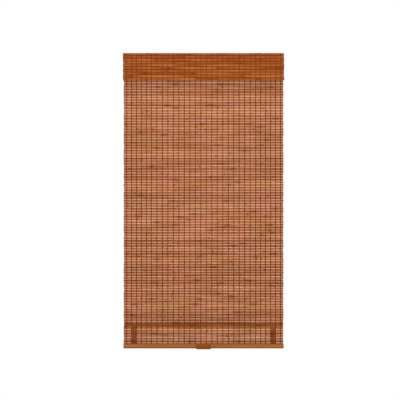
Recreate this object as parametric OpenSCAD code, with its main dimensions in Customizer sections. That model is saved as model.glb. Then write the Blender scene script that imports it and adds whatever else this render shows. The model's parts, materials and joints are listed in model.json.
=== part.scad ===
// Bamboo roman shade, cordless, with a matching valance.
// Split bamboo slats are woven on warp threads into one mat that hangs from a steel headrail.
// A spring motor in the headrail turns a square shaft, and two reels on it wind the lift tapes.
// Frame: +X to the right seen from the room, +Y towards the wall, +Z up.
// The origin is the middle of the bracket screw holes, in the plane that the brackets are screwed to.

/* [Shade] */
// Width of the mat
shade_w = 882; // [500:1:1800]
// From the valance's top edge to the bottom rail's underside
drop = 1628; // [900:1:2400]
// How far the valance reaches past the mat at each side
valance_over = 3.5; // [0:0.5:10]
// Height of the valance
valance_h = 152; // [90:1:250]
// From the mounting plane down to the valance's top edge
top_gap = 1.6; // [1.4:0.1:4]
// Clear space between the mat and the board behind the valance
valance_off = 9; // [2:0.5:20]
// Height of the board behind the valance
board_h = 36; // [24:1:60]
// Thickness of the board behind the valance
board_t = 5; // [4:0.5:10]

/* [Weave] */
// Height of one slat and the gap below it, before fitting a whole number
slat_pitch = 14.65; // [8:0.05:25]
// Open gap between two slats of the mat
slat_gap = 0.5; // [0.3:0.1:4]
// Groove between two slats of the valance
valance_gap = 1.6; // [0.4:0.1:4]
// Thickness of a slat at its crown
slat_t = 1.8; // [1.2:0.1:3]
// Thickness of a slat at its edges
slat_edge_t = 1.0; // [0.6:0.1:1.2]
// Width of a warp thread
thread_w = 3; // [1.5:0.1:5]
// Thickness of a warp thread
thread_t = 0.6; // [0.3:0.1:1]
// Spacing of the threads in the middle of the mat, before fitting a whole number
thread_pitch = 30.2; // [15:0.1:50]
// Spacing of the closer threads near each side
side_thread_pitch = 27.4; // [12:0.1:45]
// Closer threads at each side
side_threads = 5; // [1:1:8]
// Slat ends past the outermost thread
slat_end = 16.5; // [6:0.5:30]

/* [Headrail] */
// Depth of the headrail, front to wall
rail_d = 44; // [42:1:60]
// Height of the headrail
rail_h = 38; // [38:1:50]
// Sheet thickness of the headrail
sheet_t = 1; // [0.6:0.1:1.5]
// Width of each lip along the headrail's open top
lip_w = 7; // [5:0.5:9]
// How far each lip is curled down
lip_curl = 3; // [2:0.5:4]
// From the headrail's top down to the mat's top edge
mat_down = 3; // [1:0.5:8]
// How far each end of the headrail, with its cap, stays inside the mat's side
rail_in = 2; // [0:0.5:10]
// Thickness of an end cap's outer plate
cap_t = 2; // [1:0.5:4]
// How far an end cap's tongue goes into the headrail
cap_tongue = 10; // [5:1:20]

/* [Brackets] */
// From each end of the headrail to the middle of its bracket
bracket_in = 87; // [60:1:110]
// Length of a bracket along the headrail
bracket_len = 28; // [20:1:40]
// Sheet thickness of a bracket
bracket_t = 1.2; // [1:0.1:1.6]
// Diameter of a bracket's screw holes
screw_hole_d = 4.5; // [3:0.1:5.5]
// Distance between the two screw holes of a bracket
screw_pitch = 12; // [10:0.5:14]

/* [Lifting gear] */
// Width across the flats of the square lift shaft
shaft_w = 5; // [4:0.5:6]
// Width of a lift tape
tape_w = 3; // [2:0.5:6]
// Thickness of a lift tape
tape_t = 0.3; // [0.2:0.05:0.5]
// Radius of a reel where the tape starts
reel_r = 10; // [9:0.5:11]
// Radius of a reel's flanges
flange_r = 15.5; // [13.5:0.5:16]
// Thickness of a reel's flanges
flange_t = 1.2; // [0.8:0.1:2]
// Radius of the journals that the reels and the output drum turn on
journal_r = 5; // [4.5:0.1:6]
// Inner threads between the last one and the thread that hides a lift tape
tape_thread = 2; // [1:1:4]
// Rows of tape guides on the back of the mat
guide_rows = 6; // [3:1:12]
// Length of the spring motor's case
motor_len = 64; // [40:1:90]
// Radius of the output drum
output_r = 6.4; // [6:0.1:6.8]
// Radius of the storage drum
storage_r = 5.4; // [4.5:0.1:5.8]
// Distance between the drums' axes
drum_span = 15.6; // [15.2:0.1:17]
// Radius of the storage drum's axle
axle_r = 2; // [1.5:0.1:3]

/* [Bottom frame] */
// How far the bottom rail reaches past the mat at each side
bottom_over = 1; // [0:0.5:10]
// Height of the bottom rail
bottom_h = 25; // [18:1:40]
// Thickness of the bottom rail
bottom_d = 14; // [12:0.5:20]
// Rounding of the bottom rail's long edges
bottom_round = 5; // [1:0.5:6]
// Depth of the groove that holds the mat's last slat
groove_depth = 9; // [5:0.5:12]
// Height of the cross batten
batten_h = 22; // [15:1:40]
// Thickness of the cross batten
batten_t = 8; // [5:0.5:9]
// How far each end of the cross batten stays inside the mat's side
batten_in = 2; // [0:0.5:10]
// Clear height between the bottom rail and the cross batten
frame_gap = 93.5; // [60:0.5:150]
// Width of each upright
upright_w = 23; // [15:1:50]
// Thickness of each upright
upright_t = 5; // [3:0.5:5.5]
// From the mat's side to the middle of each upright
upright_in = 57.5; // [30:0.5:100]

/* [Pull handle] */
// Width of the pull handle
handle_w = 81; // [50:1:120]
// How far the pull handle reaches below the bottom rail
handle_below = 4.4; // [2:0.1:10]
// From the bottom rail's top edge down to the handle's top
handle_top = 1.2; // [0.5:0.1:4]
// Wall of the pull handle
handle_t = 2.5; // [2:0.1:4]
// Inner radius of the finger groove
finger_r = 5.5; // [4.5:0.1:8]

/* [Hidden] */
$fn = 48;
// Clearance between pieces that only touch or hang against each other
fit = 0.2;
// Clearance between pieces that move past each other
slip = 0.3;
// Radial clearance of a turning journal
run = 0.05;
// Widths
valance_w = shade_w + 2 * valance_over;
rail_len = shade_w - 2 * (rail_in + cap_t);
bracket_span = rail_len - 2 * bracket_in;
bottom_w = shade_w + 2 * bottom_over;
batten_w = shade_w - 2 * batten_in;
upright_span = shade_w - 2 * upright_in;
// Heights
valance_top = -top_gap;
bottom_z = valance_top - drop;
bottom_top = bottom_z + bottom_h;
rail_top = -bracket_t - fit;
rail_floor = rail_top - rail_h + sheet_t;
mat_top = rail_top - mat_down;
mat_bottom = bottom_top - groove_depth + slip;
mat_len = mat_top - mat_bottom;
upright_top = bottom_top + frame_gap;
batten_bottom = upright_top + fit;
batten_top = batten_bottom + batten_h;
// Weave
slats = round(mat_len / slat_pitch);
pitch = mat_len / slats;
valance_slats = round(valance_h / slat_pitch);
valance_pitch = valance_h / valance_slats;
outer_thread = shade_w / 2 - slat_end;
inner_edge = outer_thread - side_threads * side_thread_pitch;
inner_steps = round(2 * inner_edge / thread_pitch);
inner_pitch = 2 * inner_edge / inner_steps;
inner_x = [for (i = [0 : inner_steps]) -inner_edge + i * inner_pitch];
side_x = [for (i = [1 : side_threads]) inner_edge + i * side_thread_pitch];
thread_x = concat(inner_x, side_x, [for (x = side_x) -x]);
// Layers, from the headrail's front face towards the room
rail_front = -rail_d / 2;
bend_r = 1;
hook_t = 1.2;
hook_h = 20;
hook_back = rail_front - fit / 2;
loop_back = hook_back - hook_t - fit / 2;
back_thread = loop_back - hook_t - fit / 2;
mat_back = back_thread - thread_t - fit / 2;
front_thread = mat_back - slat_t - fit / 2;
mat_front = front_thread - thread_t;
clip_t = 1;
board_back = mat_front - valance_off;
board_in = 4;
board_top = valance_top - 1;
board_slot = board_top - board_h / 2;
slot_depth = 2.4;
lining_t = 0.4;
lining_in = 2;
lining_back = board_back - board_t - fit / 2;
valance_back = lining_back - lining_t - fit / 2;
valance_thread = valance_back - slat_t - fit / 2;
// Lifting gear
tape_x = inner_edge - tape_thread * inner_pitch;
tape_y = rail_front + sheet_t + flange_r - reel_r + slip + tape_t / 2 + 0.4;
shaft_y = tape_y + reel_r + run + tape_t / 2;
shaft_z = rail_floor + flange_r + 1.5;
hub_w = tape_w + 2 * slip;
mouth_x = tape_w + 6;
mouth_y = 8;
reel_w = hub_w + 2 * flange_t;
cheek_t = 3;
cheek_in = reel_w / 2 + slip;
journal_end = cheek_in + cheek_t + 0.5;
cradle_t = 1;
shaft_end = tape_x + journal_end + 6;
drum_w = motor_len - 12;
coil_in = 0.2;
coil_out = 1.4;
coil_store = 0.5;
strip_t = 0.3;
case_t = 1.6;
storage_y = shaft_y + drum_span;
case_front = shaft_y - output_r - coil_in - coil_out - 1 - case_t;
case_back = storage_y + storage_r + coil_in + coil_store + 1 + case_t;
case_floor = rail_floor + fit;
case_top = shaft_z + output_r + coil_in + coil_out + 1;
// Bottom frame
mat_middle = (mat_front + back_thread) / 2;
groove_w = back_thread - mat_front + 2 * slip;
frame_front = back_thread + slip;
clamp_h = 16;
clamp_w = 12;
clamp_front = frame_front + batten_t + fit / 2;
clamp_back = tape_y + 2;
handle_back = mat_middle - bottom_d / 2 - fit / 2;
handle_z = bottom_z - handle_below;
handle_h = bottom_h + handle_below - handle_top;
handle_screw_x = handle_w / 4;
screw_z = bottom_z + (bottom_h - groove_depth) / 2;
screw_r = 1.4;
// Tape guides
guide_t = 2.5;
guide_pad_h = 8;
guide_pad_t = 1;
guide_w = 9;
guide_front = back_thread + slip;
guide_step = (batten_top - rail_top + rail_h) / (guide_rows + 1);

// A profile drawn as (y, z) and drawn out along X, centred on x = 0
module along_x(length) {
  translate([-length / 2, 0, 0])
    rotate([90, 0, 90])
      linear_extrude(height = length)
        children();
}

// A rectangle with round corners, centred on the origin
module round_rect(w, h, r) {
  square([w - 2 * r, h], center = true);
  square([w, h - 2 * r], center = true);
  for (x = [-1, 1], y = [-1, 1])
    translate([x * (w / 2 - r), y * (h / 2 - r)])
      circle(r);
}

// A wall of crowned slats lying one above the other, joined by thin webs, its back face at y = back
module slat_wall(width, top, count, step, gap, back) {
  slat_h = step - gap;
  web_t = slat_edge_t / 2;
  front = [for (i = [0 : count - 1], p = [[slat_edge_t, 0], [slat_t, 0.25], [slat_t, 0.75], [slat_edge_t, 1]])
             [back - p[0], top - i * step - p[1] * slat_h]];
  webs = [for (i = [0 : count - 2], p = [[web_t, 0], [web_t, gap]])
            [back - p[0], top - i * step - slat_h - p[1]]];
  outline = concat([for (i = [0 : count - 1])
                      each concat([for (k = [0 : 3]) front[4 * i + k]],
                                  i < count - 1 ? [webs[2 * i], webs[2 * i + 1]] : [])],
                   [[back, top - (count - 1) * step - slat_h], [back, top]]);
  along_x(width)
    polygon(outline);
}

// Warp threads with a flattened crown, their flat side at y = face, bulging towards -Y or +Y
module thread_set(top, bottom, face, side) {
  for (x = thread_x)
    translate([x, face, bottom])
      linear_extrude(height = top - bottom)
        polygon([[-thread_w / 2, 0], [thread_w / 2, 0], [thread_w / 4, side * thread_t],
                 [-thread_w / 4, side * thread_t]]);
}

module headrail() {
  middle = rail_top - rail_h / 2;
  mouth = rail_d - 2 * lip_w;
  color([0.36, 0.24, 0.15])
    difference() {
      along_x(rail_len) {
        difference() {
          translate([0, middle])
            round_rect(rail_d, rail_h, bend_r + sheet_t);
          translate([0, middle])
            round_rect(rail_d - 2 * sheet_t, rail_h - 2 * sheet_t, bend_r);
          translate([-mouth / 2, rail_top - 2 * sheet_t])
            square([mouth, 3 * sheet_t]);
        }
        for (s = [-1, 1])
          translate([s * (mouth / 2 + sheet_t / 2) - sheet_t / 2, rail_top - sheet_t - lip_curl])
            square([sheet_t, lip_curl + sheet_t / 2]);
      }
      for (s = [-1, 1])
        translate([s * tape_x - mouth_x / 2, tape_y - mouth_y / 2, rail_floor - 2 * sheet_t])
          cube([mouth_x, mouth_y, 3 * sheet_t]);
    }
}

module end_cap(side) {
  middle = rail_top - rail_h / 2;
  inner_d = rail_d - 2 * sheet_t - 2 * fit;
  inner_h = rail_h - 2 * sheet_t - lip_curl - 2 * fit;
  tongue_z = rail_floor + fit + inner_h / 2;
  color([0.40, 0.26, 0.15])
    translate([side * rail_len / 2, 0, 0])
      rotate([0, 0, side < 0 ? 180 : 0]) {
        translate([0, 0, middle])
          rotate([90, 0, 90])
            linear_extrude(height = cap_t)
              round_rect(rail_d, rail_h, bend_r + sheet_t);
        translate([-cap_tongue, 0, tongue_z])
          rotate([90, 0, 90])
            linear_extrude(height = cap_tongue + cap_t / 2)
              difference() {
                round_rect(inner_d, inner_h, 2);
                round_rect(inner_d - 4, inner_h - 4, 1);
              }
      }
}

// Spring clip: a web screwed to the window head, with two lanced legs that carry the headrail's lips
module bracket(x) {
  leg_w = 14;
  inside = rail_d / 2 - lip_w - slip;
  foot_z = rail_top - sheet_t - lip_curl - fit;
  window = 3;
  short = 2;
  color([0.72, 0.72, 0.70])
    translate([x, 0, 0]) {
      difference() {
        along_x(bracket_len)
          translate([0, -bracket_t / 2])
            square([rail_d - 2 * short, bracket_t], center = true);
        for (s = [-1, 1]) {
          translate([0, s * screw_pitch / 2, -2 * bracket_t])
            cylinder(d = screw_hole_d, h = 3 * bracket_t);
          translate([-leg_w / 2, s * (inside + window / 2 + slip) - window / 2, -2 * bracket_t])
            cube([leg_w, window, 3 * bracket_t]);
        }
      }
      for (s = [-1, 1])
        along_x(leg_w) {
          translate([s * (inside - bracket_t / 2) - bracket_t / 2, foot_z - bracket_t])
            square([bracket_t, -foot_z + bracket_t / 2]);
          translate([s > 0 ? inside - bracket_t : -inside - lip_w + short, foot_z - bracket_t])
            square([lip_w + bracket_t - short, bracket_t]);
          translate([s * (inside + lip_w - short - bracket_t / 2) - bracket_t / 2, foot_z - bracket_t])
            square([bracket_t, bracket_t + short]);
        }
    }
}

// Hook strip bonded to the headrail's front face
module hook_tape() {
  color([0.16, 0.13, 0.10])
    translate([-rail_len / 2, hook_back - hook_t, mat_top - hook_h])
      cube([rail_len, hook_t, hook_h]);
}

// Loop strip sewn to the back of the mat's top edge
module loop_tape() {
  color([0.22, 0.18, 0.14])
    translate([-rail_len / 2, loop_back - hook_t, mat_top - hook_h])
      cube([rail_len, hook_t, hook_h]);
}

// The mat: slats as ridges of one wall, a gap below each, held together at the outermost threads
module mat() {
  slat_h = pitch - slat_gap;
  inner = outer_thread - thread_w / 2;
  outer = outer_thread + thread_w / 2;
  color([0.66, 0.43, 0.27])
    difference() {
      slat_wall(shade_w, mat_top, slats, pitch, slat_gap, mat_back);
      for (i = [0 : slats - 2])
        translate([0, mat_back - slat_t, mat_top - i * pitch - slat_h - slat_gap]) {
          translate([-inner, 0, 0])
            cube([2 * inner, 2 * slat_t, slat_gap]);
          for (s = [-1, 1])
            translate([s * (outer + shade_w / 2) / 2 - shade_w / 4 + outer / 2 - (s < 0 ? 1 : 0), 0, 0])
              cube([shade_w / 2 - outer + 1, 2 * slat_t, slat_gap]);
        }
    }
}

module warp_threads() {
  color([0.36, 0.20, 0.10]) {
    thread_set(mat_top, mat_bottom + fit, front_thread, -1);
    thread_set(mat_top, mat_bottom + fit, back_thread - thread_t, 1);
  }
}

// Clips that hook inside the headrail's front lip and carry the valance board over the mat's top edge
module valance_clips() {
  clip_w = 16;
  foot = slot_depth - 2 * fit;
  inside = -rail_d / 2 + lip_w + slip;
  curl = rail_top - sheet_t - lip_curl;
  front = board_back + fit;
  color([0.86, 0.84, 0.78])
    for (s = [-1, 1])
      translate([s * (bracket_span / 2 - bracket_len - clip_w), 0, 0])
        along_x(clip_w) {
          translate([front, rail_top + fit / 2])
            square([inside + clip_t - front, clip_t]);
          translate([inside, curl - clip_t - fit])
            square([clip_t, rail_top - curl + clip_t + fit + clip_t / 2]);
          translate([inside - sheet_t - clip_t, curl - clip_t - fit])
            square([sheet_t + 2 * clip_t, clip_t]);
          translate([front, board_slot - clip_t])
            square([clip_t, rail_top - board_slot + clip_t + clip_t / 2]);
          translate([front - foot, board_slot - clip_t])
            square([foot + clip_t, clip_t]);
        }
}

module valance_board() {
  color([0.55, 0.36, 0.20])
    difference() {
      along_x(valance_w - 2 * board_in)
        translate([board_back - board_t / 2, board_top - board_h / 2])
          round_rect(board_t, board_h, 1);
      translate([-valance_w / 2, board_back - slot_depth, board_slot - clip_t - fit])
        cube([valance_w, 2 * slot_depth, clip_t + 2 * fit]);
    }
}

// Cloth that backs the valance
module valance_lining() {
  color([0.45, 0.29, 0.17])
    translate([-valance_w / 2 + lining_in, lining_back - lining_t, valance_top - valance_h + lining_in])
      cube([valance_w - 2 * lining_in, lining_t, board_top - valance_top + valance_h - lining_in]);
}

module valance_mat() {
  color([0.61, 0.32, 0.15])
    slat_wall(valance_w, valance_top, valance_slats, valance_pitch, valance_gap, valance_back);
}

module valance_threads() {
  color([0.36, 0.20, 0.10])
    thread_set(valance_top, valance_top - valance_h + valance_gap, valance_thread, -1);
}

// Bearing block: two cheeks with snap-in bearings, and a mouth through the headrail's floor for the tape
module cradle(side) {
  base_front = rail_front + sheet_t + bend_r + fit;
  base_back = shaft_y + flange_r + 1;
  base_z = rail_floor + fit / 2;
  cheek_r = journal_r + 3;
  color([0.88, 0.87, 0.83])
    translate([side * tape_x, 0, 0])
      difference() {
        union() {
          for (s = [-1, 1])
            translate([s * (cheek_in + cheek_t / 2), 0, 0])
              along_x(cheek_t)
                difference() {
                  union() {
                    translate([shaft_y, shaft_z])
                      circle(cheek_r);
                    translate([shaft_y - cheek_r, base_z])
                      square([2 * cheek_r, shaft_z - base_z]);
                  }
                  translate([shaft_y, shaft_z])
                    circle(journal_r + run);
                  translate([shaft_y - 0.85 * journal_r, shaft_z])
                    square([1.7 * journal_r, 2 * cheek_r]);
                }
          translate([-cheek_in - cheek_t, base_front, base_z])
            cube([2 * (cheek_in + cheek_t), base_back - base_front, cradle_t]);
          translate([-mouth_x / 2 + fit, tape_y - mouth_y / 2 + fit, base_z - 2 * sheet_t])
            cube([mouth_x - 2 * fit, mouth_y - 2 * fit, 2 * sheet_t + cradle_t / 2]);
        }
        translate([-tape_w / 2 - 0.6, tape_y - 2, base_z - 3 * sheet_t])
          cube([tape_w + 1.2, 4, 6 * sheet_t]);
      }
}

module lift_shaft() {
  color([0.75, 0.75, 0.76])
    along_x(2 * shaft_end)
      translate([shaft_y, shaft_z])
        square(shaft_w, center = true);
}

// A square bore along X through a turned piece, with room for the shaft
module shaft_bore(length) {
  along_x(length)
    translate([shaft_y, shaft_z])
      square(shaft_w + 2 * run, center = true);
}

// A turned step along X, centred on x = at
module turned(r, length, at, y, z) {
  translate([at - length / 2, y, z])
    rotate([0, 90, 0])
      cylinder(r = r, h = length);
}

module tape_reel(side) {
  color([0.90, 0.89, 0.86])
    translate([side * tape_x, 0, 0])
      difference() {
        union() {
          turned(reel_r, hub_w + flange_t, 0, shaft_y, shaft_z);
          for (s = [-1, 1])
            turned(flange_r, flange_t, s * (hub_w + flange_t) / 2, shaft_y, shaft_z);
          turned(journal_r, 2 * journal_end, 0, shaft_y, shaft_z);
        }
        shaft_bore(4 * journal_end);
      }
}

// Tray of the spring motor, with open bearings for the output drum and the storage axle
module motor_case() {
  color([0.20, 0.20, 0.21])
    difference() {
      translate([-motor_len / 2, case_front, case_floor])
        cube([motor_len, case_back - case_front, case_top - case_floor]);
      translate([-motor_len / 2 + 2 * case_t, case_front + case_t, case_floor + case_t])
        cube([motor_len - 4 * case_t, case_back - case_front - 2 * case_t, case_top - case_floor]);
      turned(journal_r + run, 2 * motor_len, 0, shaft_y, shaft_z);
      translate([-motor_len, shaft_y - journal_r - run, shaft_z])
        cube([2 * motor_len, 2 * (journal_r + run), 2 * rail_h]);
      turned(axle_r + run, 2 * motor_len, 0, storage_y, shaft_z);
      translate([-motor_len, storage_y - axle_r - run, shaft_z])
        cube([2 * motor_len, 2 * (axle_r + run), 2 * rail_h]);
    }
}

module motor_cover() {
  inner_x = motor_len - 4 * case_t - 2 * fit;
  inner_y = case_back - case_front - 2 * case_t - 2 * fit;
  color([0.24, 0.24, 0.25])
    difference() {
      union() {
        translate([-motor_len / 2, case_front, case_top + fit / 2])
          cube([motor_len, case_back - case_front, 1.2]);
        translate([-inner_x / 2, case_front + case_t + fit, case_top - 0.6])
          cube([inner_x, inner_y, 1.2]);
      }
      translate([-inner_x / 2 + 1.2, case_front + case_t + fit + 1.2, case_top - 1])
        cube([inner_x - 2.4, inner_y - 2.4, 1 + fit / 2]);
    }
}

module output_drum() {
  color([0.80, 0.78, 0.70])
    difference() {
      union() {
        turned(output_r, drum_w, 0, shaft_y, shaft_z);
        turned(journal_r, motor_len, 0, shaft_y, shaft_z);
      }
      shaft_bore(2 * motor_len);
    }
}

module storage_drum() {
  color([0.80, 0.78, 0.70])
    difference() {
      turned(storage_r, drum_w, 0, storage_y, shaft_z);
      turned(axle_r + run, 2 * motor_len, 0, storage_y, shaft_z);
    }
}

module storage_axle() {
  color([0.75, 0.75, 0.76])
    turned(axle_r, motor_len, 0, storage_y, shaft_z);
}

// Constant-force strip, wound on the output drum while the shade is down and crossing to the storage drum
module motor_spring() {
  out_r = output_r + coil_in + coil_out;
  store_r = storage_r + coil_in + coil_store;
  lean = asin((out_r + store_r - strip_t) / drum_span);
  run_len = drum_span * cos(lean);
  color([0.55, 0.56, 0.60])
    along_x(drum_w - 6)
      difference() {
        union() {
          translate([shaft_y, shaft_z])
            circle(out_r);
          translate([storage_y, shaft_z])
            circle(store_r);
          translate([shaft_y, shaft_z])
            rotate(-lean)
              translate([0, out_r - strip_t])
                square([run_len, strip_t]);
        }
        translate([shaft_y, shaft_z])
          circle(output_r + coil_in);
        translate([storage_y, shaft_z])
          circle(storage_r + coil_in);
      }
}

// A lift tape: half a turn on its reel, then straight down through the guides to the clamp
module lift_tape(side) {
  color([0.86, 0.80, 0.70])
    translate([side * tape_x, 0, 0])
      along_x(tape_w) {
        translate([tape_y - tape_t / 2, batten_bottom + 2])
          square([tape_t, shaft_z - batten_bottom - 2]);
        intersection() {
          translate([shaft_y, shaft_z])
            difference() {
              circle(reel_r + run + tape_t);
              circle(reel_r + run);
            }
          translate([shaft_y - 2 * reel_r, shaft_z])
            square([4 * reel_r, 2 * reel_r]);
        }
      }
}

// One row of tape guides on the back of the mat: a pad and an eye for each tape
module guide_row(row) {
  z = rail_top - rail_h + row * guide_step;
  eye_y = tape_y;
  color([0.93, 0.92, 0.88])
    for (s = [-1, 1])
      translate([s * tape_x, 0, z]) {
        translate([-guide_w / 2, guide_front, -guide_pad_h / 2])
          cube([guide_w, guide_pad_t, guide_pad_h]);
        translate([0, 0, -guide_t / 2])
          linear_extrude(height = guide_t)
            difference() {
              union() {
                translate([0, eye_y])
                  circle(guide_w / 2);
                translate([-guide_w / 2, guide_front + guide_pad_t / 2])
                  square([guide_w, eye_y - guide_front - guide_pad_t / 2]);
              }
              translate([-tape_w / 2 - slip, eye_y - tape_t / 2 - slip])
                square([tape_w + 2 * slip, tape_t + 2 * slip]);
            }
      }
}

module cross_batten() {
  color([0.55, 0.33, 0.17])
    along_x(batten_w)
      translate([frame_front + batten_t / 2, batten_bottom + batten_h / 2])
        round_rect(batten_t, batten_h, 1.5);
}

module upright(side) {
  color([0.55, 0.33, 0.17])
    translate([side * upright_span / 2, frame_front + upright_t / 2, bottom_top + fit])
      linear_extrude(height = frame_gap - fit)
        round_rect(upright_w, upright_t, 1);
}

// Clamp on the back of the cross batten that holds the end of a lift tape
module tape_clamp(side) {
  slot = tape_t + 2 * fit;
  color([0.90, 0.89, 0.86])
    translate([side * tape_x, 0, batten_bottom + batten_h / 2 - clamp_h / 2])
      linear_extrude(height = clamp_h)
        difference() {
          translate([-clamp_w / 2, clamp_front])
            square([clamp_w, clamp_back - clamp_front]);
          translate([-tape_w / 2 - fit, tape_y - slot / 2])
            square([tape_w + 2 * fit, slot]);
        }
}

// Bottom rail: rounded bar with a groove along its top for the mat and blind holes for the handle's screws
module bottom_rail() {
  color([0.62, 0.37, 0.18])
    difference() {
      along_x(bottom_w)
        difference() {
          translate([mat_middle, bottom_z + bottom_h / 2])
            round_rect(bottom_d, bottom_h, bottom_round);
          translate([mat_middle - groove_w / 2, bottom_top - groove_depth])
            square([groove_w, 2 * groove_depth]);
        }
      for (s = [-1, 1])
        translate([s * handle_screw_x, mat_middle + bottom_d / 2 + 1, screw_z])
          rotate([90, 0, 0])
            cylinder(r = screw_r + 0.35 + fit, h = bottom_d + 2);
    }
}

// Finger pull: a plate on the front of the bottom rail, its lower edge rolled forward into a groove between two cheeks
module pull_handle() {
  out_r = finger_r + handle_t;
  lip_z = handle_z + out_r;
  lip_top = lip_z - 0.3 * finger_r;
  lip_front = handle_back - out_r - sqrt(out_r * out_r - (lip_z - lip_top) * (lip_z - lip_top));
  corner_r = 4;
  cheek_top = handle_z + handle_h - corner_r;
  color([0.42, 0.23, 0.10])
    difference() {
      intersection() {
        union() {
          along_x(handle_w)
            difference() {
              union() {
                translate([handle_back - handle_t, lip_z])
                  square([handle_t, handle_h - out_r]);
                translate([handle_back - out_r, lip_z])
                  circle(out_r);
              }
              translate([handle_back - out_r, lip_z])
                circle(finger_r);
              translate([handle_back - handle_t - 2 * finger_r, lip_top])
                square([2 * finger_r, 2 * out_r]);
              translate([handle_back - 3 * out_r, lip_top])
                square([2 * out_r, 2 * out_r]);
            }
          for (s = [-1, 1])
            translate([s * (handle_w - handle_t) / 2, 0, 0])
              along_x(handle_t) {
                intersection() {
                  translate([handle_back - out_r, lip_z])
                    circle(out_r);
                  translate([handle_back - 2 * out_r, handle_z])
                    square([2 * out_r, lip_top - handle_z]);
                }
                polygon([[lip_front, lip_top], [handle_back, lip_top],
                         [handle_back, cheek_top], [handle_back - handle_t, cheek_top]]);
              }
        }
        translate([0, handle_back + 1, handle_z + handle_h / 2])
          rotate([90, 0, 0])
            linear_extrude(height = 4 * out_r)
              round_rect(handle_w, handle_h, corner_r);
      }
      for (s = [-1, 1])
        translate([s * handle_screw_x, handle_back + 1, screw_z])
          rotate([90, 0, 0])
            cylinder(r = screw_r + run, h = 1 + handle_t - 0.6);
    }
}

// Screws that go through the bottom rail from behind into the pull handle
module handle_screws() {
  back = mat_middle + bottom_d / 2;
  head_t = 2;
  color([0.70, 0.70, 0.70])
    for (s = [-1, 1])
      translate([s * handle_screw_x, back + fit / 2, screw_z])
        rotate([90, 0, 0])
          difference() {
            union() {
              translate([0, 0, -head_t])
                cylinder(r = 3.2, h = head_t);
              translate([0, 0, -head_t / 2])
                cylinder(r = screw_r, h = bottom_d + fit + handle_t + head_t / 2 - 1);
            }
            for (turn = [0, 90])
              rotate(turn)
                translate([-2, -0.35, -2 * head_t])
                  cube([4, 0.7, 1.5 * head_t]);
          }
}

headrail();
end_cap(-1);  // end_cap_left
end_cap(1);  // end_cap_right
bracket(-bracket_span / 2);  // bracket_left
bracket(bracket_span / 2);  // bracket_right
hook_tape();
loop_tape();
mat();
warp_threads();
valance_clips();
valance_board();
valance_lining();
valance_mat();
valance_threads();
cradle(-1);  // cradle_left
cradle(1);  // cradle_right
lift_shaft();
tape_reel(-1);  // tape_reel_left
tape_reel(1);  // tape_reel_right
motor_case();
motor_cover();
output_drum();
storage_drum();
storage_axle();
motor_spring();
lift_tape(-1);  // lift_tape_left
lift_tape(1);  // lift_tape_right
guide_row(1);  // guide_row_1
guide_row(2);  // guide_row_2
guide_row(3);  // guide_row_3
guide_row(4);  // guide_row_4
guide_row(5);  // guide_row_5
guide_row(6);  // guide_row_6
cross_batten();
upright(-1);  // upright_left
upright(1);  // upright_right
tape_clamp(-1);  // tape_clamp_left
tape_clamp(1);  // tape_clamp_right
bottom_rail();
pull_handle();
handle_screws();
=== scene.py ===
"""Looks of the bamboo roman shade: woven slats, warp yarns, stained wood, cloth, plastics and steel."""

import json
import math
import random
from collections import namedtuple

import bpy
import numpy as np
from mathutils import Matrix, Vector


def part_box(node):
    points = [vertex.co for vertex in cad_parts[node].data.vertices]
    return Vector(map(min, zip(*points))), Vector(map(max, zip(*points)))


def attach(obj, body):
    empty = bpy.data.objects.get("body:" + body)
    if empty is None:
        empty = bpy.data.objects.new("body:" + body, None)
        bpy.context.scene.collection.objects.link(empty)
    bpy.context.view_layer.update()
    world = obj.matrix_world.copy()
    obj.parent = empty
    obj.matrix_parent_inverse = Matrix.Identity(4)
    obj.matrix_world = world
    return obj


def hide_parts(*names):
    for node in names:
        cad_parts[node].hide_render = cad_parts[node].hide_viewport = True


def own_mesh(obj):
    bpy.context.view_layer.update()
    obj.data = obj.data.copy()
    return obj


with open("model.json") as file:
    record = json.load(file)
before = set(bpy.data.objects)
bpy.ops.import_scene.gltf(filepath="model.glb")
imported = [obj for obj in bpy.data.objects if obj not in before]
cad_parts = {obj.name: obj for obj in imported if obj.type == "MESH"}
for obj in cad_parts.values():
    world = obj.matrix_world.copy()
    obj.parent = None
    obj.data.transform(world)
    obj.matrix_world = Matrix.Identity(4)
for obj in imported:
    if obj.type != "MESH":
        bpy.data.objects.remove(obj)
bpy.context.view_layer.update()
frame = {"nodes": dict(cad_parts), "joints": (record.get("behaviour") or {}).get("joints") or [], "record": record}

# Sizes in metres, as in the solids
SLAT_PITCH = 0.01465
SLAT_GAP = 0.0005
VALANCE_GAP = 0.0016
SLAT_T = 0.0018
THREAD_W = 0.003
THREAD_PITCH = 0.0302
SIDE_THREAD_PITCH = 0.0274
SIDE_THREADS = 5
SLAT_END = 0.0165
TAPE_T = 0.0003

# Gaps between slats: spread of their width as a share of it, how far they stray, and rows in a radian of that
GAP_SPREAD = 0.3
GAP_STRAY = 0.0005
GAP_WAVE = 7

# How far a slat's edges and its whole length wander, and the stretch over which they do
EDGE_WANDER = 0.00022
EDGE_STEP = 0.07
BOW = 0.0002
BOW_STEP = 0.2

# Growth knots: least distance from an end, most distance of the first one, stretch between two, and swelling
KNOT_INSET = 0.02
FIRST_KNOT = 0.3
KNOT_SPACE = (0.22, 0.36)
KNOT_SWELL = 0.06

# A slat's ends: how much lower they are, over which stretch, and how far the dark of the saw cut reaches
END_TAPER = 0.03
END_ROUND = 0.005
CUT_REACH = 0.006

# Stations along a slat: even ones, those near an end, and those near a knot in shares of its reach;
# the digits that they are rounded to, and how far past an end still counts as on it
SLAT_STATIONS = 32
END_STATIONS = (0.0015, END_ROUND)
KNOT_STATIONS = (-2.5, -1.2, -0.5, 0.0, 0.5, 1.2, 2.5)
STATION_DIGITS = 5
TOUCH = 1e-6

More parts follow.
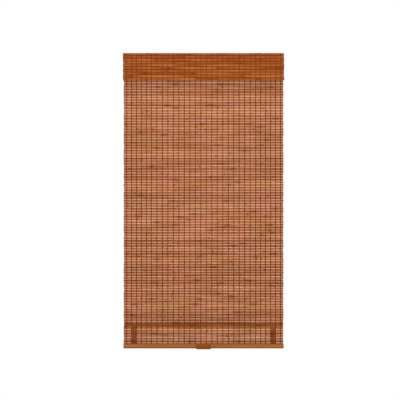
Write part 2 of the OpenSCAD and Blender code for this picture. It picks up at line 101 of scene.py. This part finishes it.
# Warp yarns: thickness, inset from the solid rib's faces, half the distance between two that cross,
# sway to the side, how far that turns in a row of slats, and stations a row
YARN_T = 0.001
YARN_INSET = 0.0004
YARN_CROSS = 0.0009
YARN_SWAY = 0.0006
SWAY_TURN = 0.13
YARN_STATIONS = 4

# Seeds of the random draws
MAT_SEED = 100
MAT_YARN_SEED = 500
VALANCE_SEED = 2369
VALANCE_YARN_SEED = 700

# The photograph: 400 pixels square, and the valance's width, middle and top in it; and the camera
PHOTO_PX = 400
VALANCE_PX = 161.36
VALANCE_MIDDLE_PX = 203.55
VALANCE_TOP_PX = 53.1
CAMERA_FAR = 14.0
CAMERA_SEES = 60.0
SENSOR_MM = 36.0

mat_low, mat_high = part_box("mat")
valance_low, valance_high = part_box("valance_mat")
thread_low, thread_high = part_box("warp_threads")
rail_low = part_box("headrail")[0]
batten_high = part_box("cross_batten")[1]
bottom_low, bottom_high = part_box("bottom_rail")
handle_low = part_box("pull_handle")[0]


# Meshes


def new_piece(name, verts, faces, values=None):
    """A mesh object from points and faces, with one number per point for each named attribute."""
    mesh = bpy.data.meshes.new(name)
    mesh.from_pydata([tuple(v) for v in verts], [], faces)
    for key, numbers in (values or {}).items():
        layer = mesh.attributes.new(key, "FLOAT", "POINT")
        layer.data.foreach_set("value", np.asarray(numbers, np.float32))
    mesh.polygons.foreach_set("use_smooth", [True] * len(mesh.polygons))
    mesh.update()
    piece = bpy.data.objects.new(name, mesh)
    bpy.context.scene.collection.objects.link(piece)
    return piece


class Tubes:
    """Collects swept sections, each a ring of points per station, into one mesh."""

    def __init__(self):
        self.verts = []
        self.faces = []
        self.values = {}

    def sweep(self, rings, **values):
        """Adds one closed tube through the rings. A value is one number, one a ring, or one a point."""
        first = len(self.verts)
        count = len(rings[0])
        for ring in rings:
            self.verts.extend(ring)
        for i in range(len(rings) - 1):
            a = first + i * count
            for k in range(count):
                n = (k + 1) % count
                self.faces.append((a + k, a + n, a + count + n, a + count + k))
        last = first + (len(rings) - 1) * count
        self.faces.append(tuple(first + k for k in reversed(range(count))))
        self.faces.append(tuple(last + k for k in range(count)))
        for key, value in values.items():
            column = np.reshape(value, (-1, 1)) if np.ndim(value) == 1 else value
            self.values.setdefault(key, []).extend(np.broadcast_to(column, (len(rings), count)).ravel())

    def piece(self, name):
        """The mesh object of all the tubes."""
        return new_piece(name, self.verts, self.faces, self.values)


def thread_columns():
    """Where the warp threads are across the mat: close together near the sides, wider apart in the middle."""
    outer = mat_high.x - SLAT_END
    inner = outer - SIDE_THREADS * SIDE_THREAD_PITCH
    steps = round(2 * inner / THREAD_PITCH)
    middle = [-inner + 2 * inner * i / steps for i in range(steps + 1)]
    side = [inner + (i + 1) * SIDE_THREAD_PITCH for i in range(SIDE_THREADS)]
    return sorted(middle + side + [-x for x in side])


def smooth_wander(rng, xs, step, amount):
    """A gentle random curve over the stations xs, with a turning point every step metres."""
    turns = np.arange(xs[0] - step, xs[-1] + 2 * step, step)
    return np.interp(xs, turns, [rng.uniform(-amount, amount) for _ in turns])


# A slat's section: share of its half height, and share of its thickness from the back
SLAT_SECTION = [(-1.0, 0.55), (-0.8, 0.8), (-0.4, 0.97), (0.0, 1.0), (0.4, 0.97), (0.8, 0.8), (1.0, 0.55),
                (0.99, 0.0), (-0.99, 0.0)]

# How a set of slats is made: the gap between them, how far their ends stray, how much of the gap closes at
# the ends, and the kinds of growth knot: how far its dark stain reaches along the slat, and how dark it is
Weave = namedtuple("Weave", "gap end_spread end_close knots")
MAT_WEAVE = Weave(SLAT_GAP, 0.0005, 0.0, [(0.0018, 0.6), (0.0022, 0.6), (0.003, 0.5), (0.018, 0.38)])
VALANCE_WEAVE = Weave(VALANCE_GAP, 0.0001, 0.9, [(0.0022, 0.6), (0.009, 0.6), (0.013, 0.55)])


def add_slat(tubes, rng, half_w, high, low, back, weave):
    """One split bamboo slat: a crowned strip with a wandering edge, round ends and a few growth knots."""
    left = -half_w + rng.uniform(0, weave.end_spread)
    right = half_w - rng.uniform(0, weave.end_spread)
    knots = []
    at = left + rng.uniform(KNOT_INSET, FIRST_KNOT)
    while at < right - KNOT_INSET:
        knots.append((at, *rng.choice(weave.knots)))
        at += rng.uniform(*KNOT_SPACE)
    near = [k + d * reach for k, reach, _ in knots for d in KNOT_STATIONS]
    even = np.linspace(left, right, SLAT_STATIONS)
    ends = [left + d for d in END_STATIONS] + [right - d for d in END_STATIONS]
    xs = np.unique(np.round(np.concatenate([even, near, ends]), STATION_DIGITS))
    xs = xs[(xs >= left - TOUCH) & (xs <= right + TOUCH)]
    knot = np.zeros(len(xs))
    for k, reach, depth in knots:
        knot = np.maximum(knot, depth * np.exp(-(((xs - k) / reach) ** 2)))
    inside = np.minimum(xs - left, right - xs)
    cut = 1 - np.clip(inside / CUT_REACH, 0, 1)
    rounding = 1 - np.sqrt(np.clip(inside / END_ROUND, 0, 1))
    half = (high - low) / 2 * (1 - END_TAPER * rounding) + weave.end_close * weave.gap / 2 * cut
    top = half + smooth_wander(rng, xs, EDGE_STEP, EDGE_WANDER)
    bottom = half + smooth_wander(rng, xs, EDGE_STEP, EDGE_WANDER)
    bow = smooth_wander(rng, xs, BOW_STEP, BOW)
    thick = SLAT_T * (1 - KNOT_SWELL * (1 - knot))
    middle = (high + low) / 2
    rings = []
    for i, x in enumerate(xs):
        ring = []
        for share, depth in SLAT_SECTION:
            reach = top[i] if share > 0 else bottom[i]
            ring.append((x, back - depth * thick[i] + bow[i], middle + share * reach))
        rings.append(ring)
    edge = [[share**2 for share, _ in SLAT_SECTION]]
    tubes.sweep(rings, tone=rng.random(), edge=edge, knot=knot, cut=cut)


def weave_slats(name, half_w, top, pitch, back, rows, seed, weave):
    """The slats with the given row numbers, as one piece. Each gap has its own width, and strays a little.

    A gap's seed lies half way between those of the slats above and below it, which share it.
    """
    tubes = Tubes()

    def gap_over(row):
        rng = random.Random(seed + row + 0.5)
        stray = GAP_STRAY * (rng.uniform(-1, 1) + math.sin(row / GAP_WAVE))
        half = weave.gap / 2 * (1 + GAP_SPREAD * rng.uniform(-1, 1))
        return top - row * pitch + weave.gap / 2 + stray, half

    for row in rows:
        above, half_above = gap_over(row)
        below, half_below = gap_over(row + 1)
        high = above - half_above if row else top
        add_slat(tubes, random.Random(seed + row), half_w, high, below + half_below, back, weave)
    return tubes.piece(name)


# A yarn's section: shares of its width and of its thickness
YARN_SECTION = [(-0.5, 0.0), (0.0, -0.5), (0.5, 0.0), (0.0, 0.5)]


def weave_yarns(name, top, bottom, first, last, pitch, front, back, seed):
    """Two yarns in each column that cross between the slats, one in front while the other is behind.

    The yarns reach from row first to row last, but no higher than top and no lower than bottom.
    """
    tubes = Tubes()
    middle = (front + back) / 2
    reach = (back - front) / 2
    for column, x in enumerate(thread_columns()):
        rng = random.Random(seed + column)
        sway = rng.uniform(-YARN_SWAY, YARN_SWAY)
        for side in (-1, 1):
            rings = []
            count = max(2, round((last - first) * YARN_STATIONS))
            for i in range(count + 1):
                t = first + (last - first) * i / count
                z = min(top, max(bottom, top - t * pitch))
                weave = math.sin(math.pi * t) * side
                y = middle - reach * math.copysign(math.sqrt(abs(weave)), weave)
                shift = YARN_CROSS * math.cos(math.pi * t) * side + sway * math.sin(SWAY_TURN * t)
                rings.append([(x + shift + THREAD_W * w, y + YARN_T * d, z) for w, d in YARN_SECTION])
            tubes.sweep(rings, tone=rng.random())
    return tubes.piece(name)


# Materials


def srgb(red, green, blue):
    """A screen colour, 0 to 255, as linear light."""
    shares = (c / 255 for c in (red, green, blue))
    return tuple(c / 12.92 if c <= 0.04045 else ((c + 0.055) / 1.055) ** 2.4 for c in shares)


def tint(colour, share):
    """A darker or lighter shade of a colour."""
    return tuple(min(1.0, share * c) for c in colour)


# Stains: dark flecks, growth knots and sawn ends; painted shade between slats along a slat's rims; and painted
# shade along level edges, and how far it reaches
FLECK = (0.12, 0.035, 0.01)
KNOT_STAIN = srgb(100, 32, 2)
SAWN_END = (0.05, 0.018, 0.008)
# Painted shade between slats, laid along a slat's rims
RIM_SHADE = srgb(124, 46, 0)
# Painted shade along level edges: its colour, and how far it reaches
EDGE_SHADE = srgb(84, 42, 12)
EDGE_SHADE_REACH = 0.0065


class Paint:
    """A node material around one Principled shader."""

    def __init__(self, name):
        self.material = bpy.data.materials.new(name)
        self.material.use_nodes = True
        self.tree = self.material.node_tree
        self.shader = self.tree.nodes["Principled BSDF"]
        self.place = self.add("ShaderNodeTexCoord").outputs["Object"]

    def add(self, kind, **values):
        node = self.tree.nodes.new(kind)
        for key, value in values.items():
            setattr(node, key, value)
        return node

    def link(self, source, target):
        self.tree.links.new(source, target)

    def feed(self, target, source):
        """Sets a socket from another socket or from a plain value."""
        if isinstance(source, bpy.types.NodeSocket):
            self.link(source, target)
        else:
            target.default_value = source

    def scaled(self, scale, source=None):
        node = self.add("ShaderNodeMapping")
        self.link(source or self.place, node.inputs["Vector"])
        node.inputs["Scale"].default_value = scale
        return node.outputs["Vector"]

    def noise(self, scale, detail=3.0, rough=0.5, source=None):
        """Noise with its own scale along each axis."""
        node = self.add("ShaderNodeTexNoise")
        self.link(self.scaled(scale, source), node.inputs["Vector"])
        node.inputs["Scale"].default_value = 1.0
        node.inputs["Detail"].default_value = detail
        node.inputs["Roughness"].default_value = rough
        return node.outputs["Fac"]

    def wave(self, scale, axis, distortion=0.0):
        node = self.add("ShaderNodeTexWave", bands_direction=axis)
        self.link(self.place, node.inputs["Vector"])
        node.inputs["Scale"].default_value = scale
        node.inputs["Distortion"].default_value = distortion
        return node.outputs["Fac"]

    def axes(self):
        """The place's X, Y and Z, each as a socket."""
        node = self.add("ShaderNodeSeparateXYZ")
        self.link(self.place, node.inputs["Vector"])
        return node.outputs

    def attribute(self, name):
        return self.add("ShaderNodeAttribute", attribute_name=name).outputs["Fac"]

    def math(self, operation, a, b=0.0, clamp=False):
        node = self.add("ShaderNodeMath", operation=operation, use_clamp=clamp)
        self.feed(node.inputs[0], a)
        self.feed(node.inputs[1], b)
        return node.outputs[0]

    def ramp(self, source, stops):
        node = self.add("ShaderNodeValToRGB")
        self.link(source, node.inputs["Fac"])
        bar = node.color_ramp.elements
        while len(bar) < len(stops):
            bar.new(0.5)
        for element, (at, colour) in zip(bar, stops):
            element.position = at
            element.color = (*colour, 1.0)
        return node.outputs["Color"]

    def mix(self, share, a, b, blend="MIX"):
        node = self.add("ShaderNodeMix", data_type="RGBA", blend_type=blend)
        self.feed(node.inputs[0], share)
        self.feed(node.inputs[6], a if isinstance(a, bpy.types.NodeSocket) else (*a, 1.0))
        self.feed(node.inputs[7], b if isinstance(b, bpy.types.NodeSocket) else (*b, 1.0))
        return node.outputs[2]

    def times(self, a, b):
        """One colour multiplied by another."""
        return self.mix(1.0, a, b, "MULTIPLY")

    def spread(self, source, low, high):
        """Maps 0 to 1 onto low to high."""
        node = self.add("ShaderNodeMapRange")
        self.link(source, node.inputs["Value"])
        node.inputs["To Min"].default_value = low
        node.inputs["To Max"].default_value = high
        return node.outputs["Result"]

    def bump(self, height, strength, distance):
        node = self.add("ShaderNodeBump")
        self.link(height, node.inputs["Height"])
        node.inputs["Strength"].default_value = strength
        node.inputs["Distance"].default_value = distance
        self.link(node.outputs["Normal"], self.shader.inputs["Normal"])

    def finish(self, colour=None, roughness=None, **sockets):
        if colour is not None:
            self.feed(self.shader.inputs["Base Color"], colour)
        if roughness is not None:
            self.feed(self.shader.inputs["Roughness"], roughness)
        for key, value in sockets.items():
            self.shader.inputs[key.replace("_", " ")].default_value = value
        return self.material


def bamboo(name, palette, rim_shade=0.0, through=None):
    """Split bamboo: each slat has its own tone, drifting hues, fine fibres along it and dark growth knots.

    rim_shade is how dark the painted shade between slats is along a slat's rims. through is the share of light
    that comes through the thin wood, and its colour at a slat's core and at its rims.
    """
    p = Paint(name)
    tone = p.attribute("tone")
    axes = p.axes()
    along = p.add("ShaderNodeCombineXYZ")
    p.link(p.math("MULTIPLY", axes["X"], 7.0), along.inputs["X"])
    p.link(p.math("MULTIPLY", tone, 400.0), along.inputs["Y"])
    p.link(p.math("MULTIPLY", axes["Z"], 60.0), along.inputs["Z"])
    drift = p.noise((1.0, 1.0, 1.0), detail=2.0, source=along.outputs["Vector"])
    body = p.ramp(p.spread(drift, -0.45, 1.45), palette)
    blotch = p.noise((0.7, 1.0, 1.0), detail=5.0, rough=0.65, source=along.outputs["Vector"])
    blotch = p.mix(p.spread(blotch, -0.6, 1.6), (0.9, 0.84, 0.76), (1.1, 1.16, 1.24))
    hue = p.spread(p.noise((7.0, 7.0, 9.0), detail=1.0), -0.6, 1.6)
    hue = p.mix(hue, (0.95, 0.97, 0.88), (1.05, 1.03, 1.12))
    blotch = p.times(blotch, hue)
    body = p.times(body, blotch)
    fibre = p.noise((9.0, 200.0, 1500.0), detail=4.0, rough=0.6)
    streak = p.noise((22.0, 10.0, 420.0), detail=2.0)
    dark = p.mix(p.spread(fibre, -0.1, 0.9), (0.82, 0.7, 0.45), (1.14, 1.24, 1.5))
    body = p.times(body, dark)
    shade = p.mix(tone, (0.88, 0.76, 0.56), (1.12, 1.24, 1.55))
    body = p.times(body, shade)
    fleck = p.math("MULTIPLY", p.math("GREATER_THAN", streak, 0.65), 0.45)
    body = p.mix(fleck, body, FLECK)
    body = p.mix(p.attribute("knot"), body, KNOT_STAIN)
    body = p.mix(p.math("MULTIPLY", p.attribute("cut"), 0.8), body, SAWN_END)
    # Painted shade: the slat's rims are darkened, standing in for the shade in the gaps between slats
    if rim_shade:
        body = p.mix(p.math("MULTIPLY", p.attribute("edge"), rim_shade), body, RIM_SHADE)
    p.bump(fibre, 0.35, 0.0004)
    material = p.finish(body, p.spread(fibre, 0.38, 0.62), Specular_IOR_Level=0.05)
    if through:
        share, core, rim = through
        glow = p.add("ShaderNodeBsdfTranslucent")
        shine = p.mix(p.attribute("edge"), core, rim)
        shine = p.times(shine, p.mix(tone, (0.85, 0.85, 0.85), (1.1, 1.1, 1.1)))
        shine = p.times(shine, blotch)
        shine = p.mix(fleck, shine, (0.1, 0.03, 0.01))
        shine = p.mix(p.attribute("knot"), shine, (0.06, 0.012, 0.004))
        p.link(shine, glow.inputs["Color"])
        both = p.add("ShaderNodeMixShader")
        both.inputs["Fac"].default_value = share
        p.link(p.shader.outputs["BSDF"], both.inputs[1])
        p.link(glow.outputs["BSDF"], both.inputs[2])
        p.link(both.outputs["Shader"], p.tree.nodes["Material Output"].inputs["Surface"])
    return material


def yarn(name, light, dark):
    """Twisted cotton: slanting plies along the thread."""
    p = Paint(name)
    twist = p.wave(260.0, "DIAGONAL", 2.0)
    fuzz = p.noise((3000.0, 3000.0, 1500.0), detail=2.0)
    colour = p.mix(p.math("MULTIPLY", twist, fuzz), dark, light)
    colour = p.times(colour, p.mix(p.attribute("tone"), (0.75, 0.72, 0.7), (1.25, 1.28, 1.3)))
    p.bump(twist, 0.6, 0.0004)
    return p.finish(colour, 0.9, Specular_IOR_Level=0.1)


def shade_edges(p, colour, shaded_edges):
    """The colour with painted shade along level edges. shaded_edges: the height of each, and how dark its painted
    shade is.
    """
    for height, depth in shaded_edges:
        off = p.math("ABSOLUTE", p.math("SUBTRACT", p.axes()["Z"], height))
        near = p.math("SUBTRACT", 1.0, p.math("DIVIDE", off, EDGE_SHADE_REACH), clamp=True)
        colour = p.mix(p.math("MULTIPLY", near, depth), colour, EDGE_SHADE)
    return colour


def stained_wood(name, palette, shaded_edges=()):
    """Stained wood with straight grain along X, and painted shade along level edges."""
    p = Paint(name)
    grain = p.noise((5.0, 260.0, 320.0), detail=5.0, rough=0.6)
    broad = p.noise((2.2, 40.0, 60.0), detail=2.0)
    colour = p.ramp(p.math("ADD", p.math("MULTIPLY", grain, 0.55), p.math("MULTIPLY", broad, 0.45)), palette)
    pores = p.noise((40.0, 900.0, 1200.0), detail=2.0)
    colour = p.mix(p.math("MULTIPLY", p.math("GREATER_THAN", pores, 0.64), 0.3), colour, (0.1, 0.03, 0.01))
    colour = shade_edges(p, colour, shaded_edges)
    p.bump(grain, 0.2, 0.0003)
    return p.finish(colour, p.spread(grain, 0.4, 0.55), Specular_IOR_Level=0.15)


def moulded(name, colour, roughness, gloss=0.5, shaded_edges=()):
    """Moulded plastic: a fine spark-eroded skin, slight unevenness in colour, and painted shade along level edges.
    """
    p = Paint(name)
    skin = p.noise((2600.0,) * 3, detail=2.0)
    cloud = p.noise((40.0,) * 3, detail=3.0)
    body = shade_edges(p, p.mix(cloud, tint(colour, 0.86), tint(colour, 1.12)), shaded_edges)
    p.bump(skin, 0.12, 0.0002)
    skin_roughness = p.spread(cloud, roughness - 0.06, roughness + 0.08)
    return p.finish(body, skin_roughness, Specular_IOR_Level=gloss)


def painted_steel(name, colour):
    """Roll-formed sheet with a baked coat: faint orange peel, and lines along the rolling direction."""
    p = Paint(name)
    peel = p.noise((700.0,) * 3, detail=2.0)
    rolled = p.noise((3.0, 500.0, 500.0), detail=3.0)
    coat = p.mix(rolled, tint(colour, 0.85), tint(colour, 1.15))
    p.bump(peel, 0.08, 0.0002)
    return p.finish(coat, p.spread(peel, 0.32, 0.46))


def bare_steel(name, colour, along):
    """Drawn or plated steel with fine brush lines along one axis."""
    p = Paint(name)
    stretch = [900.0, 900.0, 900.0]
    stretch["XYZ".index(along)] = 8.0
    brush = p.noise(tuple(stretch), detail=4.0)
    p.bump(brush, 0.12, 0.0001)
    body = p.mix(brush, tint(colour, 0.82), colour)
    return p.finish(body, p.spread(brush, 0.25, 0.45), Metallic=1.0)


def cloth(name, light, dark, count):
    """Plain weave: warp and weft waves crossing, count threads a metre."""
    p = Paint(name)
    warp = p.wave(count / 20.0, "X")
    weft = p.wave(count / 20.0, "Z")
    weave = p.math("MULTIPLY", warp, weft)
    slub = p.noise((60.0, 60.0, 700.0), detail=3.0)
    colour = p.mix(p.math("ADD", p.math("MULTIPLY", weave, 0.6), p.math("MULTIPLY", slub, 0.4)), dark, light)
    p.bump(weave, 0.5, 0.0004)
    return p.finish(colour, 0.92)


def pile(name, light, dark):
    """Hook-and-loop tape: a dense tangle of small loops."""
    p = Paint(name)
    loops = p.noise((1500.0,) * 3, detail=5.0, rough=0.7)
    p.bump(loops, 0.9, 0.0008)
    return p.finish(p.mix(loops, dark, light), 0.95)


# Wood from dark to light: the valance's slats, the mat's slats, the bottom rail, and the frame behind the mat
VALANCE_PALETTE = [(0.0, srgb(124, 58, 14)), (0.5, srgb(149, 82, 34)), (1.0, srgb(170, 106, 57))]
MAT_PALETTE = [(0.0, srgb(151, 75, 24)), (0.5, srgb(167, 93, 39)), (1.0, srgb(183, 111, 56))]
WOOD_PALETTE = [(0.25, srgb(134, 70, 20)), (0.5, srgb(156, 89, 33)), (0.75, srgb(174, 106, 45))]
FRAME_PALETTE = [(0.25, srgb(156, 90, 44)), (0.5, srgb(172, 103, 54)), (0.75, srgb(184, 116, 64))]

# Light through the mat's slats: its share, and its colour at a slat's core and at its rims
MAT_THROUGH = (0.55, (0.19, 0.095, 0.06), (1.0, 0.725, 0.535))

# Painted shade along edges, by height and depth: a line just over the bottom rail's lower edge, its upper edge,
# and the handle's lower lip
SHADE_LINE_RISE = 0.004
RAIL_SHADED_EDGES = ((bottom_low.z + SHADE_LINE_RISE, 0.75), (bottom_high.z, 0.5))
HANDLE_SHADED_EDGES = ((handle_low.z, 0.8),)

looks = {
    "bamboo": bamboo("bamboo", MAT_PALETTE, through=MAT_THROUGH),
    "warp_yarn": yarn("warp_yarn", srgb(138, 56, 8), srgb(94, 32, 4)),
    "valance_yarn": yarn("valance_yarn", srgb(140, 62, 6), srgb(116, 46, 0)),
    # The valance's slats get painted shade along their rims
    "valance_bamboo": bamboo("valance_bamboo", VALANCE_PALETTE, rim_shade=0.8),
    "lining_cloth": cloth("lining_cloth", srgb(116, 44, 0), srgb(88, 32, 0), 900.0),
    "stained_wood": stained_wood("stained_wood", WOOD_PALETTE, RAIL_SHADED_EDGES),
    "handle_plastic": moulded("handle_plastic", srgb(141, 74, 6), 0.4, gloss=0.1, shaded_edges=HANDLE_SHADED_EDGES),
    "headrail_paint": painted_steel("headrail_paint", (0.11, 0.047, 0.02)),
    "bracket_steel": bare_steel("bracket_steel", (0.62, 0.62, 0.58), "Y"),
    "cap_plastic": moulded("cap_plastic", (0.13, 0.055, 0.022), 0.45),
    "gear_plastic": moulded("gear_plastic", (0.78, 0.76, 0.70), 0.42),
    "motor_plastic": moulded("motor_plastic", (0.035, 0.035, 0.038), 0.45),
    "plain_steel": bare_steel("plain_steel", (0.58, 0.58, 0.60), "X"),
    "tape_webbing": cloth("tape_webbing", (0.72, 0.64, 0.50), (0.45, 0.38, 0.28), 2600.0),
    "hook_and_loop": pile("hook_and_loop", (0.055, 0.042, 0.03), (0.012, 0.009, 0.006)),
}

# Every solid takes its slot's material; the frame behind the mat is lighter wood than the bottom rail
slot_of = {s["node"]: s["material_slot"] for s in frame["record"]["subparts"]}
for node, solid in frame["nodes"].items():
    solid.data.materials.clear()
    solid.data.materials.append(looks[slot_of[node]])
frame_wood = stained_wood("frame_wood", FRAME_PALETTE)
for node in ("cross_batten", "upright_left", "upright_right", "valance_board"):
    frame["nodes"][node].data.materials[0] = frame_wood


def dress(piece, slot, *nodes):
    """Gives a new piece its slot's material, and lets it stand for its nodes."""
    piece.data.materials.append(looks[slot])
    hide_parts(*nodes)
    return piece


# The mat, in three stretches: fixed to the headrail, gathering, and fixed to the bottom frame
mat_len = mat_high.z - mat_low.z + SLAT_GAP
slats = round(mat_len / SLAT_PITCH)
pitch = mat_len / slats
head_rows = math.ceil((mat_high.z - rail_low.z) / pitch)
frame_row = math.floor((mat_high.z - batten_high.z) / pitch)
stretches = {"mat_head": (0, head_rows), "mat_drop": (head_rows, frame_row), "mat_foot": (frame_row, slats)}

for name, (first, last) in stretches.items():
    boards = weave_slats(name, mat_high.x, mat_high.z, pitch, mat_high.y,
                         range(first, last), MAT_SEED, MAT_WEAVE)
    dress(boards, "bamboo", "mat")
    yarns = weave_yarns(name + "_yarns", mat_high.z, thread_low.z, first, last, pitch,
                        thread_low.y + YARN_INSET, thread_high.y - YARN_INSET, MAT_YARN_SEED)
    dress(yarns, "warp_yarn", "warp_threads")
    for piece in (boards, yarns):
        if name == "mat_drop":
            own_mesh(piece)
        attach(piece, "bottom" if name == "mat_foot" else "head")

# The valance, whose yarns lie almost flush with the slats' backs
VALANCE_YARN_PROUD = 0.0001
valance_len = valance_high.z - valance_low.z + VALANCE_GAP
valance_slats = round(valance_len / SLAT_PITCH)
valance_pitch = valance_len / valance_slats
yarn_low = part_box("valance_threads")[0]
valance = weave_slats("valance_slats", valance_high.x, valance_high.z, valance_pitch, valance_high.y,
                      range(valance_slats), VALANCE_SEED, VALANCE_WEAVE)
dress(valance, "valance_bamboo", "valance_mat")
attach(valance, "head")
valance_yarns = weave_yarns("valance_yarns", valance_high.z, valance_low.z, 0, valance_slats, valance_pitch,
                            yarn_low.y + YARN_INSET, valance_high.y + VALANCE_YARN_PROUD, VALANCE_YARN_SEED)
dress(valance_yarns, "valance_yarn", "valance_threads")
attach(valance_yarns, "head")

# The cloth behind the valance, flat against the board and loose below it
cloth_low, cloth_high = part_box("valance_lining")
board_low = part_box("valance_board")[0]
LINING_SAG = 0.0015
LINING_RIPPLE = 23
LINING_DRIFT = 7
LINING_ROWS = 12
LINING_COLUMNS = 90


def lining_rings():
    """Sections of the cloth from side to side: a thin loop whose free part sways a little towards the mat."""
    heights = np.linspace(cloth_high.z, cloth_low.z, LINING_ROWS)
    free = np.clip((board_low.z - heights) / (board_low.z - cloth_low.z), 0, 1)
    rings = []
    for x in np.linspace(cloth_low.x, cloth_high.x, LINING_COLUMNS):
        ripple = math.sin(LINING_RIPPLE * x) * math.cos(LINING_DRIFT * x + 1)
        sway = LINING_SAG * free * (0.5 + 0.5 * ripple)
        front = [(x, cloth_low.y + d, z) for d, z in zip(sway, heights)]
        back = [(x, cloth_high.y + d, z) for d, z in zip(sway, heights)]
        rings.append(front + back[::-1])
    return rings


lining_tube = Tubes()
lining_tube.sweep(lining_rings())
lining = dress(lining_tube.piece("lining"), "lining_cloth", "valance_lining")
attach(lining, "head")

# The lift tapes: a straight run that is wound in, and the turn that lies on the reel
shaft = next(j for j in frame["joints"] if j["name"] == "shaft_turn")
shaft_y, shaft_z = shaft["pos_m"][1:]
RUN_STATIONS = 60
TURN_STATIONS = 49


def turn_rings(corners, radius):
    """Sections of one turn of tape round the shaft; corners are places across the tape and depths into it."""
    rings = []
    for a in np.linspace(0, 2 * math.pi, TURN_STATIONS):
        ring = []
        for x, d in corners:
            ring.append((x, shaft_y - (radius - d) * math.cos(a), shaft_z + (radius - d) * math.sin(a)))
        rings.append(ring)
    return rings


for side in ("left", "right"):
    node = "lift_tape_" + side
    tape_low, tape_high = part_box(node)
    corners = [(tape_low.x, -TAPE_T / 2), (tape_high.x, -TAPE_T / 2), (tape_high.x, TAPE_T / 2),
               (tape_low.x, TAPE_T / 2)]
    tape_y = tape_low.y + TAPE_T / 2
    run = Tubes()
    heights = np.linspace(shaft_z, tape_low.z, RUN_STATIONS)
    run.sweep([[(x, tape_y + d, z) for x, d in corners] for z in heights])
    run = dress(run.piece(node + "_run"), "tape_webbing", node)
    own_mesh(run)
    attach(run, "head")
    turn = Tubes()
    turn.sweep(turn_rings(corners, shaft_y - tape_y))
    turn = dress(turn.piece(node + "_turn"), "tape_webbing", node)
    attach(turn, "shaft")


# Stage


# The floor: how far under the mat, half its width, its pale colour, its own glow near the object, and the
# distances over which it fades into white
FLOOR_DROP = 0.75
FLOOR_HALF = 60.0
FLOOR_COLOUR = (0.8, 0.8, 0.8)
FLOOR_GLOW = 0.12
FADE_START = 1.5
FADE_END = 5.5

# Soft lights, one a row: name, place, size and power; and the light from all around
LIGHTS = [
    ("key", (-1.4, -3.6, 3.2), 2.0, 250),
    ("fill", (2.4, -4.5, -0.6), 3.0, 65),
    ("window", (0.6, 3.5, 0.0), 3.0, 190),
]
AMBIENT = 0.3

floor_z = mat_low.z - FLOOR_DROP
signs = [(-1, -1), (1, -1), (1, 1), (-1, 1)]
floor = new_piece("floor", [(x * FLOOR_HALF, y * FLOOR_HALF, floor_z) for x, y in signs], [(0, 1, 2, 3)])
paint = Paint("floor")
far = paint.add("ShaderNodeMapRange", interpolation_type="SMOOTHSTEP")
length = paint.add("ShaderNodeVectorMath", operation="LENGTH")
paint.link(paint.scaled((1.0, 1.0, 0.0)), length.inputs[0])
paint.link(length.outputs["Value"], far.inputs["Value"])
far.inputs["From Min"].default_value = FADE_START
far.inputs["From Max"].default_value = FADE_END
paint.link(paint.mix(far.outputs["Result"], FLOOR_COLOUR, (0, 0, 0)), paint.shader.inputs["Base Color"])
paint.link(paint.spread(far.outputs["Result"], FLOOR_GLOW, 1.0), paint.shader.inputs["Emission Strength"])
floor.data.materials.append(paint.finish(None, 1.0, Emission_Color=(1, 1, 1, 1), Specular_IOR_Level=0.0))


def soft_light(name, place, target, size, power):
    """A round area light that faces its target."""
    lamp = bpy.data.lights.new(name, "AREA")
    lamp.shape = "DISK"
    lamp.size = size
    lamp.energy = power
    holder = bpy.data.objects.new(name, lamp)
    bpy.context.scene.collection.objects.link(holder)
    holder.location = place
    holder.rotation_euler = (Vector(target) - Vector(place)).to_track_quat("-Z", "Y").to_euler()


middle = Vector((0, 0, (mat_low.z + mat_high.z) / 2))
for name, place, size, power in LIGHTS:
    soft_light(name, place, middle, size, power)

# White to the camera, and a lower level of white light on the object
world = bpy.data.worlds.new("soft_room")
world.use_nodes = True
sky = world.node_tree.nodes["Background"]
sky.inputs["Color"].default_value = (1, 1, 1, 1)
rays = world.node_tree.nodes.new("ShaderNodeLightPath")
level = world.node_tree.nodes.new("ShaderNodeMapRange")
level.inputs["To Min"].default_value = AMBIENT
level.inputs["To Max"].default_value = 1.0
world.node_tree.links.new(rays.outputs["Is Camera Ray"], level.inputs["Value"])
world.node_tree.links.new(level.outputs["Result"], sky.inputs["Strength"])
bpy.context.scene.world = world
bpy.context.scene.view_settings.view_transform = "Standard"
bpy.context.scene.view_settings.look = "None"

# The camera stands far off, straight in front, so that the valance takes its place in the picture
metre_per_px = 2 * valance_high.x / VALANCE_PX
camera_x = (PHOTO_PX / 2 - VALANCE_MIDDLE_PX) * metre_per_px
camera_z = valance_high.z - (PHOTO_PX / 2 - VALANCE_TOP_PX) * metre_per_px
lens = bpy.data.cameras.new("camera")
camera = bpy.data.objects.new("camera", lens)
bpy.context.scene.collection.objects.link(camera)
camera.location = (camera_x, valance_low.y - CAMERA_FAR, camera_z)
camera.rotation_euler = (math.pi / 2, 0, 0)
lens.sensor_width = SENSOR_MM
lens.sensor_height = SENSOR_MM
lens.lens = SENSOR_MM * CAMERA_FAR / (PHOTO_PX * metre_per_px)
lens.clip_end = CAMERA_SEES
bpy.context.scene.camera = camera

# The scene brought up to date after dressing
bpy.context.view_layer.update()
